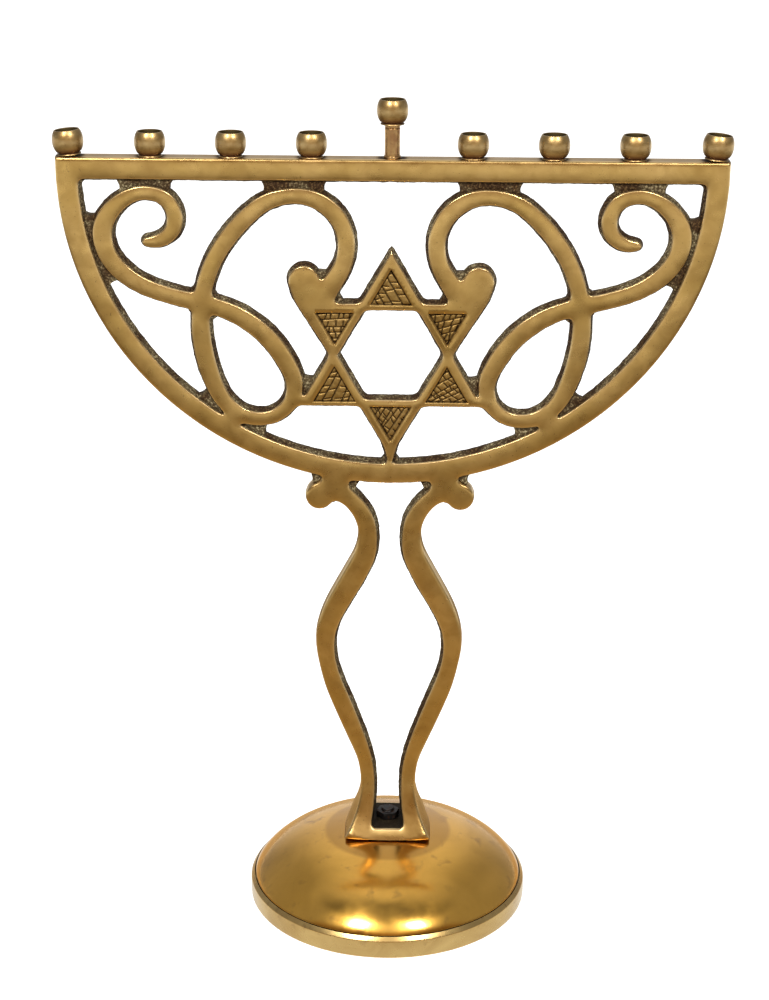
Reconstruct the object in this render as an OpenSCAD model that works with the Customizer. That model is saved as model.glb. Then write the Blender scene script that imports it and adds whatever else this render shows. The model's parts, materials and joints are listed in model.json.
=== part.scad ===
// A nine-light menorah: an openwork brass casting bolted to a spun dome base,
// with eight candle cups on the bar and a ninth, the shamash, raised on a post.
// Units are millimetres, +Z is up, the front faces -Y, and the origin is the
// centre of the base on the table.

/* [Frame casting] */
// Width across the two ends of the top bar
bar_w = 300; // [296:1:304]
// Height of the top face of the bar above the table
bar_top = 368; // [366:1:372]
// Height of the bar's front face
bar_h = 10; // [9:0.5:11]
// Front-to-back depth of the casting above its foot
frame_t = 11; // [10:0.5:12]
// Width of the band of the big arc below the bar
arc_band = 10; // [9:0.5:11]
// Height of the lowest point of the big arc
arc_low = 216; // [215:1:218]
// Thickness of the sunk webs left in the tracery's narrow gaps and corners
web_t = 7.5; // [6:0.5:8.5]
// Radius of the hollow edges of those webs
web_r = 3.2; // [2.8:0.1:4]
// Radius left by the sand mould in the casting's inner corners
corner_r = 0.6; // [0.4:0.1:1]

/* [Star] */
// Height of the centre of the star
star_z = 278; // [277:1:279]
// Radius of the circle through the star's six points
star_r = 49; // [48:0.5:50]
// Width of the straps around the six-sided window and the sunk triangles
strap = 3.5; // [3:0.25:4]
// Radius of the circle through the corners of an upper side triangle
panel_r = 10.4; // [9:0.2:10.8]
// Depth of the sunk triangles
panel_sink = 0.8; // [0.4:0.1:1.2]

/* [Foot] */
// Width of the foot on the dome
foot_w = 42; // [38:1:44]
// Front-to-back depth of the foot on the dome
foot_d = 35; // [30:1:38]
// Thickness of the floor of the slot between the two legs
foot_floor = 5.2; // [4:0.1:6]

/* [Base] */
// Outer diameter of the base ring
ring_d = 136; // [132:1:140]
// Height of the base ring
ring_h = 11; // [10:0.5:12]
// Height of the flat crown of the dome, where the foot stands
dome_top = 35; // [34:0.5:36]
// Wall of the spun dome
dome_wall = 1.5; // [1.2:0.1:2]

/* [Candle cups] */
// Spacing from cup to cup along the bar
cup_pitch = 36; // [35:0.5:36.5]
// Diameter of the candle bore
bore_d = 10.4; // [10:0.1:10.6]
// Thickness of the cup's floor under the candle bore
cup_floor = 2.2; // [2:0.1:2.6]
// Height of a cup
cup_h = 11; // [10.6:0.1:12]
// Outward lean of the two end cups, in degrees
end_lean = 5; // [0:1:6]
// Height of the post under the shamash cup
post_h = 15; // [12:0.5:22]
// Diameter of the post under the shamash cup
post_d = 7; // [6:0.5:8]

/* [Hidden] */
eps = 0.01;
$fn = 96;

// Colours
polished = "#b08a3c";
warm_brass = "#a8742c";
steel = "#4c4a48";

// Cup positions along the bar, numbered from left to right
CUP_X = [for (i = [-4:4]) if (i != 0) i * cup_pitch];

// The big arc is the lower half of an ellipse centred just under the bar's top
arc_drop = 6;
arc_cz = bar_top - arc_drop;
arc_rise = arc_cz - arc_low;

// Where the foot block's flare dies out into the plain legs, and its curves
flare_top = 75;
side_bend = 2;
front_bend = 2.2;
floor_z = dome_top + foot_floor;

// Fasteners: M3 countersunk screws under the candles, M6 bolt in the foot
m3_r = 1.5;
m3_clear = 1.7;
m3_head_r = 2.8;
m3_head_h = 1.7;
m3_bite = 7;
m6_r = 3;
m6_clear = 3.2;
m6_flats = 10;
bolt_head_h = 4;
nut_h = 3.2;
bolt_end = 1;
washer_r = 9;
washer_t = 1.6;

// A cup's foot and belly
foot_r = 5.4;
belly_r = 7;
belly_z = 6.2;
belly_rise = 7.4;
belly_bend = 2.2;

// The dome's edge stands in a rebate turned in the ring
lip = 2.2;
dome_r = ring_d / 2 - lip;
seat_z = ring_h - 3.5;
lip_gap = 0.1;
ring_in = ring_d / 2 - 7;

// The dome's profile: flatness of its crown and roundness of its shoulder
crown_bend = 2.6;
shoulder_bend = 0.8;
DOME_STEPS = 20;

// Centreline of the right-hand scroll: x, z and the ribbon's width there.
// It starts at the free tip of the small curl, runs down the side, round the
// low loop, crosses itself and ends over the arch in the star's upper corner.
SCROLL = [
    [110.6, 329.8, 4.6], [104.8, 330.2, 6.4], [98.9, 334.4, 7.3], [97.1, 341.6, 7.6],
    [100.6, 349, 7.2], [107.5, 352, 6.7], [115, 351.6, 6.7], [123, 347, 7.8],
    [128.6, 340, 9], [130.2, 332, 9.3], [127.6, 323, 9], [121, 315, 8.6],
    [111.5, 309, 8.2], [100, 305, 8], [88, 302.1, 8.2], [76, 298.9, 8.4],
    [65.2, 293.4, 8.8], [55.7, 285.3, 8.9], [48.6, 275.5, 8.8], [44.2, 265.3, 8.2],
    [45.9, 255.4, 7.2], [53, 248.6, 6.9], [62, 247, 7], [70.6, 249.8, 7.6],
    [77.8, 257, 8.2], [82.7, 268, 8.8], [85.9, 281, 9], [86.7, 294, 8.6],
    [85, 308, 8], [81, 320, 8], [75.2, 330, 8.2], [67, 339.8, 8.2],
    [56.5, 348.3, 7.8], [44, 351.4, 7.3], [33, 349.2, 8], [24.4, 342, 8.4],
    [20.4, 332, 8.2], [21.4, 321, 8.4], [27, 311, 9.4], [32, 303, 10]
];
// Where the sampled ribbon is cut in two, so that it can cross itself
STEPS = 3;
cut = 21 * STEPS;

// Lobe that closes the ribbon's end against the star's upper corner
lobe_at = [39.6, 312.6];
lobe_r = 7.3;

// Knob in which the leg's top curls outwards under the arc
knob_at = [33, 209.4];
knob_r = 6.6;

// Outer edge of the right leg, from the knob down to the foot
LEG_OUT = [
    [31, 207.2], [27.6, 207.4], [24.8, 206.9], [22, 205.5], [18.7, 202],
    [15.9, 197], [14.6, 190.5], [16.3, 182], [20.4, 173.8],
    [25.7, 164], [31, 153.5], [34.2, 143.5], [34.9, 135], [34, 127],
    [30.8, 113], [26, 100], [20, 85.5], [14.8, 72.6], [13.1, 62]
];
// Inner edge of the same leg, from the arc down to the slot floor
LEG_IN = [
    [19, 214], [11.8, 207], [7.2, 199], [5.6, 190], [6.3, 180], [9.7, 171],
    [15, 161], [21, 150.5], [25, 141.5], [26, 133], [25.2, 125],
    [22.6, 116], [18.4, 105.5], [12.9, 91], [8.7, 78], [6.7, 68],
    [6.2, 58], [6.6, 49], [7.6, 43]
];

// Top view of the foot's right half, in half-widths and half-depths of the foot:
// a slightly bowed front edge and well rounded back corners
FOOT_PLAN = [
    [-0.01, -1], [0.3, -0.99], [0.6, -0.965], [1, -0.9], [1, 0.1], [0.97, 0.35],
    [0.88, 0.62], [0.72, 0.86], [0.5, 1], [-0.01, 1]
];

// The sunk triangles: centre from the star's centre in star radii, corner
// radius in panel radii, and 1 for apex up or -1 for apex down
PANELS = [
    [0, 0.596, 1.1, 1], [0, -0.614, 1.1, -1],
    for (side = [-1, 1]) each [[side * 0.524, 0.304, 1, -1],
                               [side * 0.527, -0.339, 1.13, 1]]
];

// Point at parameter t between p[i] and p[i + 1] of a smooth curve through p
function on_curve(p, i, t) =
    let (a = p[max(i - 1, 0)], b = p[i], c = p[i + 1],
         d = p[min(i + 2, len(p) - 1)])
    (2 * b + (c - a) * t + (2 * a - 5 * b + 4 * c - d) * t * t
     + (3 * b - a - 3 * c + d) * t * t * t) / 2;

// The whole smooth curve through p, with n steps between neighbours
function curve(p, n) =
    [for (i = [0:len(p) - 2]) for (k = [0:n - 1]) on_curve(p, i, k / n),
     p[len(p) - 1]];

function backwards(p) = [for (i = [len(p) - 1:-1:0]) p[i]];
function part_of(p, from, to) = [for (i = [from:to]) p[i]];

// Unit vector across a curve of [x, z, width] points at its point i
function across(p, i) =
    let (a = p[max(i - 1, 0)], b = p[min(i + 1, len(p) - 1)],
         d = [b.x - a.x, b.y - a.y])
    [-d.y, d.x] / norm(d);

// One edge of a ribbon; side is 1 or -1
function edge(p, side) =
    [for (i = [0:len(p) - 1])
        [p[i].x, p[i].y] + side * p[i].z / 2 * across(p, i)];

module ribbon(p) {
    polygon(concat(edge(p, 1), backwards(edge(p, -1))));
}

module both_sides() {
    children();
    mirror([1, 0]) children();
}

// Stands a drawing of the front view upright, t thick about the mid-plane
module plate(t) {
    rotate([90, 0, 0]) linear_extrude(height = t, center = true) children();
}

module arc_edge(rx, rz) {
    polygon([for (a = [180:3:360]) [rx * cos(a), arc_cz + rz * sin(a)]]);
}

module big_arc() {
    difference() {
        arc_edge(bar_w / 2, arc_rise);
        arc_edge(bar_w / 2 - arc_band, arc_rise - arc_band);
    }
    translate([-bar_w / 2, bar_top - bar_h]) square([bar_w, bar_h]);
}

module scroll() {
    line = curve(SCROLL, STEPS);
    ribbon(part_of(line, 0, cut));
    ribbon(part_of(line, cut - 1, len(line) - 1));
    translate([line[0].x, line[0].y]) circle(d = line[0].z, $fn = 24);
    translate(lobe_at) circle(r = lobe_r, $fn = 48);
    polygon([[46.6, 310.5], [44.2, 303.2], [30, 280.8], [25, 300], [27.5, 309],
             [30.5, 312.4], [36, 310]]);
}

module star() {
    translate([0, star_z]) difference() {
        for (turn = [30, 90]) rotate(turn) circle(r = star_r, $fn = 3);
        circle(r = (star_r / 2 - strap) / cos(30), $fn = 6);
    }
    neck_z = star_z - star_r + 5.5;
    in_arc = arc_low + arc_band - 0.5;
    polygon([[-3.2, neck_z], [3.2, neck_z], [0.9, in_arc], [-0.9, in_arc]]);
}

// n equal steps from one height to another, without the first height
function heights(from, to, n) = [for (k = [1:n]) from + (to - from) * k / n];

// Half-width of the foot block at height z
function foot_half(z) =
    let (waist = LEG_OUT[len(LEG_OUT) - 1])
    waist.x + (foot_w / 2 - waist.x)
        * pow((waist.y - z) / (waist.y - dome_top), side_bend);

// Half-depth of the foot block at height z
function foot_deep(z) =
    frame_t / 2 + (foot_d - frame_t) / 2
        * pow((flare_top - z) / (flare_top - dome_top), front_bend);

// Front view of one leg with its half of the foot and of the slot's floor
module leg() {
    slot = LEG_IN[len(LEG_IN) - 1];
    waist = LEG_OUT[len(LEG_OUT) - 1];
    in_arc = arc_low + arc_band / 2;
    polygon(concat(
        curve(LEG_OUT, STEPS),
        [for (z = heights(waist.y, dome_top, 11)) [foot_half(z), z]],
        [[-eps, dome_top], [-eps, floor_z], [slot.x - 1.2, floor_z],
         [slot.x - 0.2, floor_z + 1.2]],
        backwards(curve(LEG_IN, STEPS)),
        [[20, in_arc], [29, in_arc], knob_at + [0.6, knob_r - 0.4]]));
    translate(knob_at) circle(r = knob_r, $fn = 48);
}

module above_flare() {
    translate([-bar_w, flare_top]) square([2 * bar_w, bar_top]);
}

// Front view of everything above the foot's flare
module tracery() {
    offset(r = -corner_r, $fn = 24) offset(delta = corner_r)
        union() {
            big_arc();
            both_sides() scroll();
            star();
            intersection() {
                both_sides() leg();
                above_flare();
            }
        }
}

// Front view of the webs: the gaps and corners too narrow for a circle of
// radius web_r, with an edge sunk into the metal round them
module webs() {
    thin = 0.3;
    offset(r = thin + 0.7, $fn = 8) offset(r = -thin, $fn = 8) difference() {
        offset(r = -web_r, $fn = 32) offset(r = web_r, $fn = 32) tracery();
        tracery();
    }
}

// Side view of the foot block
module foot_side() {
    half = [for (z = concat([dome_top], heights(dome_top, flare_top, 16)))
        [foot_deep(z), z]];
    polygon(concat(half, [[frame_t / 2, flare_top + 5], [-frame_t / 2, flare_top + 5]],
                   [for (p = backwards(half)) [-p.x, p.y]]));
}

// Top view of the foot
module foot_plan() {
    both_sides() polygon([for (p = FOOT_PLAN) [p.x * foot_w / 2, p.y * foot_d / 2]]);
}

module foot_block() {
    intersection() {
        plate(foot_d + 2) difference() {
            both_sides() leg();
            translate([0, 1]) above_flare();
        }
        rotate([90, 0, 90])
            linear_extrude(height = foot_w + 4, center = true) foot_side();
        linear_extrude(height = bar_top) foot_plan();
    }
}

// The six triangles sunk into the star's points
module star_panels() {
    translate([0, -frame_t / 2, star_z]) plate(2 * panel_sink)
        for (p = PANELS) translate(star_r * [p[0], p[1]]) rotate(90 * p[3])
            circle(r = panel_r * p[2], $fn = 3);
}

module frame_casting() {
    color(polished) difference() {
        union() {
            plate(frame_t) tracery();
            plate(web_t) webs();
            foot_block();
        }
        star_panels();
        for (i = [0:7]) at_cup(i) screw_hole();
        translate([0, 0, bar_top]) screw_hole();
        translate([0, 0, dome_top - 1])
            cylinder(r = m6_clear, h = foot_floor + 2, $fn = 48);
    }
}

// A tapped hole, open at z = 0
module screw_hole() {
    translate([0, 0, -m3_bite - 1]) cylinder(r = m3_r, h = m3_bite + 3, $fn = 32);
}

// Stands its children where candle cup i stands; the end cups lean outwards
// about the outer edge of their foot
module at_cup(i) {
    out = sign(CUP_X[i]);
    lean = (i == 0 || i == 7) ? end_lean * out : 0;
    translate([CUP_X[i] + out * foot_r, 0, bar_top]) rotate([0, lean, 0])
        translate([-out * foot_r, 0, 0]) children();
}

// Outside radius of a cup's round belly at height z
function belly(z) =
    belly_r * pow(1 - pow(abs(z - belly_z) / belly_rise, belly_bend), 1 / belly_bend);

// A cup standing on z = 0: thin flared foot, round belly and thin lip
module cup() {
    difference() {
        rotate_extrude() polygon(concat(
            [[0, 0], [foot_r, 0], [foot_r, 0.4], [foot_r - 0.6, 1]],
            [for (z = [1:1:cup_h]) [belly(z), z]],
            [[0, cup_h]]));
        translate([0, 0, cup_floor]) cylinder(d = bore_d, h = cup_h, $fn = 64);
        translate([0, 0, -1]) cylinder(r = m3_clear, h = cup_floor + 2, $fn = 32);
        translate([0, 0, cup_floor - m3_head_h])
            cylinder(r1 = m3_clear, r2 = m3_head_r + 0.1,
                     h = m3_head_h + eps, $fn = 48);
    }
}

// A countersunk screw whose head is flush with z = 0 and whose shank is long
module screw(long) {
    difference() {
        union() {
            translate([0, 0, -m3_head_h])
                cylinder(r1 = m3_r - 0.05, r2 = m3_head_r, h = m3_head_h, $fn = 48);
            translate([0, 0, -long])
                cylinder(r = m3_r - 0.05, h = long - m3_head_h + eps, $fn = 32);
        }
        translate([-4, -0.4, -0.7]) cube([8, 0.8, 1]);
    }
}

module candle_cup(i) {
    color(polished) at_cup(i) cup();
}

module cup_screws() {
    color(steel) for (i = [0:7])
        at_cup(i) translate([0, 0, cup_floor]) screw(cup_floor + m3_bite);
}

module shamash_post() {
    color(warm_brass) translate([0, 0, bar_top]) difference() {
        union() {
            cylinder(d = post_d, h = post_h);
            cylinder(d = post_d + 0.8, h = 0.8);
        }
        translate([0, 0, -1]) cylinder(r = m3_clear, h = post_h + 2, $fn = 32);
    }
}

module shamash_cup() {
    color(polished) translate([0, 0, bar_top + post_h]) cup();
}

module shamash_screw() {
    color(steel) translate([0, 0, bar_top + post_h + cup_floor])
        screw(cup_floor + post_h + m3_bite);
}

// Height of the dome's outside at radius r: flat crown, rounder shoulder
function dome_z(r) =
    ring_h + (dome_top - ring_h)
        * pow(1 - pow(r / dome_r, crown_bend), shoulder_bend);

// Half-section of the space under the dome's outside, shrunk by a wall and
// open down to z = foot
module dome_half_section(wall, foot) {
    polygon(concat(
        [for (k = [0:DOME_STEPS])
            let (u = sin(90 * k / DOME_STEPS))
            [u * (dome_r - wall), dome_z(u * dome_r) - wall]],
        [[dome_r - wall, foot], [0, foot]]));
}

module base_dome() {
    color(warm_brass) difference() {
        rotate_extrude($fn = 180) dome_half_section(0, seat_z);
        rotate_extrude($fn = 180) dome_half_section(dome_wall, seat_z - 1);
        translate([0, 0, dome_top - dome_wall - 1])
            cylinder(r = m6_clear, h = dome_wall + 2, $fn = 48);
    }
}

module base_ring() {
    edge_r = 2.2;
    color(warm_brass) rotate_extrude($fn = 180) difference() {
        union() {
            translate([ring_in, 0]) square([ring_d / 2 - ring_in - 0.8, ring_h - 1]);
            translate([ring_in, 1])
                square([ring_d / 2 - ring_in, ring_h - 1 - edge_r]);
            translate([ring_d / 2 - edge_r, ring_h - edge_r]) circle(r = edge_r, $fn = 48);
            translate([ring_d / 2 - 1, 1]) circle(r = 1, $fn = 32);
        }
        translate([ring_in - 1, seat_z])
            square([dome_r + lip_gap - ring_in + 1, ring_h]);
    }
}

module hexagon(flats, h) {
    cylinder(d = flats / cos(30), h = h, $fn = 6);
}

module base_washer() {
    color(steel) translate([0, 0, dome_top - dome_wall - washer_t]) difference() {
        cylinder(r = washer_r, h = washer_t);
        translate([0, 0, -1]) cylinder(r = m6_clear, h = washer_t + 2, $fn = 48);
    }
}

module base_bolt() {
    under_head = dome_top - dome_wall - washer_t;
    color(steel) {
        translate([0, 0, under_head - bolt_head_h]) hexagon(m6_flats, bolt_head_h);
        translate([0, 0, under_head - eps])
            cylinder(r = m6_r - 0.05, h = floor_z + nut_h + bolt_end - under_head, $fn = 48);
    }
}

module base_nut() {
    color(steel) translate([0, 0, floor_z]) difference() {
        rotate(12) hexagon(m6_flats, nut_h);
        translate([0, 0, -1]) cylinder(r = m6_r, h = nut_h + 2, $fn = 48);
    }
}

frame_casting();
candle_cup(0);  // candle_cup_1
candle_cup(1);  // candle_cup_2
candle_cup(2);  // candle_cup_3
candle_cup(3);  // candle_cup_4
candle_cup(4);  // candle_cup_5
candle_cup(5);  // candle_cup_6
candle_cup(6);  // candle_cup_7
candle_cup(7);  // candle_cup_8
cup_screws();
shamash_post();
shamash_cup();
shamash_screw();
base_dome();
base_ring();
base_bolt();
base_washer();
base_nut();
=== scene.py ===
# A nine-light brass menorah: polished, hand-filed casting with rough sides, turned cups,
# a spun dome in a turned ring. Lengths are millimetres; MM turns them into scene metres.
import json
import math

import bpy
import numpy as np
from mathutils import Matrix, Vector, noise
from mathutils.geometry import delaunay_2d_cdt
from mathutils.kdtree import KDTree


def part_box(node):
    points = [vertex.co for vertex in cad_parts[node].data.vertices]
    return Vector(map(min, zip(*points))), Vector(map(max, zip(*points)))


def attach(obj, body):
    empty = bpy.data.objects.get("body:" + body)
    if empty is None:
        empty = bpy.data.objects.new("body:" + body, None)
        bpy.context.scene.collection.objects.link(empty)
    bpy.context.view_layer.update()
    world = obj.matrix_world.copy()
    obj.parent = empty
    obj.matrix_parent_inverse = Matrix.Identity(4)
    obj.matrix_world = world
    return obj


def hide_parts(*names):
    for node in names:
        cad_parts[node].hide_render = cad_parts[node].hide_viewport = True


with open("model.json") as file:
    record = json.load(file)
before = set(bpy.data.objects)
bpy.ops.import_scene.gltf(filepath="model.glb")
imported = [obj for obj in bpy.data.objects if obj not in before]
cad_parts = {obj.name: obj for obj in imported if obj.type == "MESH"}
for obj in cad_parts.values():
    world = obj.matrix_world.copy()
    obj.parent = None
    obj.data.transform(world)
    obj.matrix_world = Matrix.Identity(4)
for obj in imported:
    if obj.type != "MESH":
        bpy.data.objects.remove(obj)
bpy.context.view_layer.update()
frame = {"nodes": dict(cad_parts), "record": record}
MM = 0.001


# ---------------- sizes from the frame

def corners(node):
    """Lowest and highest corner of a CAD node, in mm."""
    low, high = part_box(node)
    return np.array(low) / MM, np.array(high) / MM


CAST_LOW, CAST_HIGH = corners("frame_casting")
CUP_LOW, CUP_HIGH = corners("shamash_cup")
POST_LOW, POST_HIGH = corners("shamash_post")
DOME_LOW, DOME_HIGH = corners("base_dome")
RING_LOW, RING_HIGH = corners("base_ring")
NUT_LOW, NUT_HIGH = corners("base_nut")
WASHER_LOW, WASHER_HIGH = corners("base_washer")
BOLT_LOW, BOLT_HIGH = corners("base_bolt")
MOUNTS = {m["name"]: m for m in frame["record"]["mounts"]}

BAR_TOP = CAST_HIGH[2]
BAR_END = CAST_HIGH[0]
FOOT_Z = CAST_LOW[2]
SLOT_FLOOR = NUT_LOW[2]
CUP_H = CUP_HIGH[2] - CUP_LOW[2]
BORE_R = MOUNTS["shamash_bore"]["dims"]["r_mm"]
BORE_H = MOUNTS["shamash_bore"]["dims"]["length_mm"]


def cup_places():
    """Foot centre and axis of the eight cups on the bar and of the raised one, last."""
    height = MOUNTS["candle_bore_2"]["pos_m"][2] / MM - BAR_TOP
    places = []
    for name in [*(f"candle_bore_{i}" for i in range(1, 9)), "shamash_bore"]:
        axis = np.array(MOUNTS[name]["axis"], float)
        places.append((np.array(MOUNTS[name]["pos_m"]) / MM - axis * height, axis))
    return places


# ---------------- small mesh helpers

def add_object(name, data):
    obj = bpy.data.objects.new(name, data)
    bpy.context.scene.collection.objects.link(obj)
    return obj


def build(name, points, faces, smooth_angle=None, **values):
    """A smooth-shaded mesh object from points in mm, with a float attribute per value."""
    mesh = bpy.data.meshes.new(name)
    mesh.from_pydata((np.asarray(points) * MM).tolist(), [], [list(map(int, f)) for f in faces])
    for key, numbers in values.items():
        attribute = mesh.attributes.new(key, "FLOAT", "POINT")
        attribute.data.foreach_set("value", np.asarray(numbers, dtype=np.float32))
    mesh.validate()
    mesh.polygons.foreach_set("use_smooth", [True] * len(mesh.polygons))
    if smooth_angle:
        mesh.set_sharp_from_angle(angle=math.radians(smooth_angle))
    mesh.update()
    return add_object(name, mesh)


def joined(*parts):
    """Points and faces of several parts as one."""
    points, faces, at = [], [], 0
    for p, f in parts:
        points.append(p)
        faces += [[i + at for i in face] for face in f]
        at += len(p)
    return np.concatenate(points), faces


def strips(rings, closed=False):
    """Faces between rings of point numbers; closed joins the last ring to the first."""
    rings = [*rings, rings[0]] if closed else rings
    return [[a[i - 1], a[i], b[i], b[i - 1]] for a, b in zip(rings, rings[1:])
            for i in [*range(1, len(a)), 0]]


def wobble(points, size, seed):
    """Smooth noise from -1 to 1 at each point; size is the width of its features in mm."""
    shift = Vector((seed * 17.3, seed * 5.1, seed * 9.7))
    return np.array([noise.noise(Vector(p) / size + shift) for p in points])


def smoothstep(low, high, x):
    t = np.clip((x - low) / (high - low), 0, 1)
    return t * t * (3 - 2 * t)


# ---------------- outlines of the casting

STEP = 0.8  # spacing of points along an outline
CORNER = math.radians(25)  # a sharper turn than this stays a corner
SAME = 0.02  # outline points closer than this count as one
EASING = 8  # passes that smooth an outline between its corners
INSIDE_ONLY = 1  # the triangulation keeps only what lies inside its outlines
WELD = 1e-5  # and joins points closer than this
ON_PLANE = 0.01  # a CAD point this close to a plane lies in it
TINY = 1e-9  # keeps a length of zero from being divided by
FAR = 1e9  # further than anything reaches


def cad_surface(node):
    """Welded points, in mm, and triangles of a CAD node."""
    mesh = frame["nodes"][node].data
    mesh.calc_loop_triangles()
    points = np.array([v.co[:] for v in mesh.vertices]) / MM
    triangles = np.array([t.vertices[:] for t in mesh.loop_triangles])
    points, same = np.unique(np.round(points, 3), axis=0, return_inverse=True)
    return points, same.ravel()[triangles]


def boundary(points, triangles):
    """Closed loops (x, z) round a set of front-facing triangles, material on the left."""
    edges = {(t[i], t[(i + 1) % 3]) for t in triangles.tolist() for i in range(3)}
    follow = {}
    for a, b in edges:
        if (b, a) not in edges:
            follow.setdefault(a, []).append(b)
    loops = []
    while follow:
        start = min(follow)
        at, loop = start, []
        while at in follow:
            loop.append(at)
            ahead = follow[at].pop()
            if not follow[at]:
                del follow[at]
            at = ahead
        loops.append(points[loop][:, [0, 2]])
    return loops


def area(loop):
    x, z = loop.T
    return 0.5 * float(np.sum(x * np.roll(z, -1) - np.roll(x, -1) * z))


def turns(loop):
    """Turning angle at each point of a closed loop."""
    before = loop - np.roll(loop, 1, axis=0)
    after = np.roll(loop, -1, axis=0) - loop
    cross = before[:, 0] * after[:, 1] - before[:, 1] * after[:, 0]
    return np.arctan2(cross, np.sum(before * after, axis=1))


def resample(loop):
    """The loop at an even spacing, smoothed between its corners."""
    keep = np.linalg.norm(loop - np.roll(loop, 1, axis=0), axis=1) > SAME
    loop = loop[keep]
    sharp = list(np.nonzero(np.abs(turns(loop)) > CORNER)[0]) or [0]
    points, pinned = [], []
    for k, first in enumerate(sharp):
        last = sharp[(k + 1) % len(sharp)]
        span = (last - first) % len(loop) or len(loop)
        chain = loop[[(first + i) % len(loop) for i in range(span + 1)]]
        along = np.concatenate([[0], np.cumsum(np.linalg.norm(np.diff(chain, axis=0), axis=1))])
        count = max(1, round(along[-1] / STEP))
        at = np.linspace(0, along[-1], count + 1)[:-1]
        points.append(np.stack([np.interp(at, along, chain[:, i]) for i in (0, 1)], axis=1))
        pinned.append(np.arange(count) == 0)
    points, pinned = np.concatenate(points), np.concatenate(pinned)
    for _ in range(EASING):
        eased = (np.roll(points, 1, axis=0) + 2 * points + np.roll(points, -1, axis=0)) / 4
        points = np.where(pinned[:, None], points, eased)
    return points


def inward(loop):
    """Unit normals of a loop, pointing into the material."""
    along = np.roll(loop, -1, axis=0) - np.roll(loop, 1, axis=0)
    normal = np.stack([-along[:, 1], along[:, 0]], axis=1)
    return normal / np.maximum(np.linalg.norm(normal, axis=1, keepdims=True), TINY)


class Outline:
    """Resampled loops with a quick distance to the nearest edge."""

    def __init__(self, loops, window_inset=0.0):
        self.loops = []
        for loop in map(resample, loops):
            shrink = window_inset if area(loop) < 0 else 0.0
            self.loops.append(loop + inward(loop) * shrink)
        self.points = np.concatenate(self.loops)
        self.normals = np.concatenate([inward(l) for l in self.loops])
        self.outer = np.concatenate([np.full(len(l), area(l) > 0) for l in self.loops])
        ahead = [np.roll(l, -1, axis=0) for l in self.loops]
        back = [np.roll(l, 1, axis=0) for l in self.loops]
        self.ahead, self.back = np.concatenate(ahead), np.concatenate(back)
        self.tree = KDTree(len(self.points))
        for i, p in enumerate(self.points):
            self.tree.insert((p[0], p[1], 0), i)
        self.tree.balance()

    def depth(self, points):
        """Distance from the outline, positive inside the material."""
        found = np.array([self.tree.find((p[0], p[1], 0))[1] for p in points])
        own = self.points[found]
        best = np.linalg.norm(points - own, axis=1)
        for end in (self.ahead[found], self.back[found]):
            side = end - own
            length = np.maximum(np.sum(side * side, axis=1), TINY)
            t = np.sum((points - own) * side, axis=1) / length
            foot = own + side * np.clip(t, 0, 1)[:, None]
            best = np.minimum(best, np.linalg.norm(points - foot, axis=1))
        inside = np.sum((points - own) * self.normals[found], axis=1) >= 0
        return np.where(inside, best, -best)

    def near_outer(self, points):
        """Whether the nearest edge to each point is the outer one, not a window's."""
        return self.outer[[self.tree.find((p[0], p[1], 0))[1] for p in points]]

    def narrow(self, reach):
        """Edge points that face other metal closer than reach."""
        return self.depth(self.points - self.normals * reach) > 0


def mesh_inside(outline, extra):
    """Points and triangles of the area inside an outline, and the numbers of the points
    on its edge; extra points are meshed in."""
    points = [tuple(p) for p in np.concatenate([outline.points, extra])]
    faces, first = [], 0
    for loop in outline.loops:
        ring = list(range(first, first + len(loop)))
        faces.append(ring if area(loop) > 0 else ring[::-1])
        first += len(loop)
    solid = {i for i, loop in enumerate(outline.loops) if area(loop) > 0}
    flat, _, cells, old_points, _, old_faces = delaunay_2d_cdt(
        [Vector(p) for p in points], [], faces, INSIDE_ONLY, WELD, True)
    where = {old: new for new, olds in enumerate(old_points) for old in olds}
    keep = [cell for cell, owners in zip(cells, old_faces)
            if set(owners) & solid and not set(owners) - solid]
    rim = [where[i] for i in range(first)]
    return np.array([p[:] for p in flat]), keep, rim


# ---------------- star panels

GROOVE_W, GROOVE_D = 0.26, 0.48  # half-width and depth of a cut line
PANEL_WALL = 0.45  # width of the sloping wall round a sunk panel
DITCH_W, DITCH_D = 0.35, 0.3  # the ditch along the foot of that wall
PILLOW_W, PILLOW_H = 0.5, 0.22  # how soon, and how far, the floor rises beside a cut
FLOOR_WAVE_W, FLOOR_WAVE_H = 1.8, 0.2  # the floor's unevenness
PANEL_REACH = 0.4  # the relief ends this far outside the panel
PANEL_GRIME = (0.8, 0.65, 0.34)  # dirt in the cuts, in the ditch and on the floor
COURSE_GAP = (0.85, 1.1)  # from one long course to the next, in spacings
COURSE_STRAY, COURSE_LEAN = 0.25, 0.07  # how far a course is off its place and angle
STROKE_GAP = (0.75, 1.5)  # from one short stroke to the next, in spacings
STROKE_LENGTH = (0.75, 1.15)
STROKE_LEAN = 0.3
LEAST_RISE = 0.5  # flatter strokes than this get no longer

# How each of the six panels is cut, anticlockwise from the upper right: the angle of its
# long courses, their spacing, the angle of the short strokes between them, and its seed.
PANEL_CUTS = [(12, 3.1, 74, 3), (-58, 3.6, 8, 5), (4, 2.9, 82, 8),
              (66, 3.9, 2, 13), (56, 2.9, -48, 21), (28, 2.8, -44, 34)]


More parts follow.
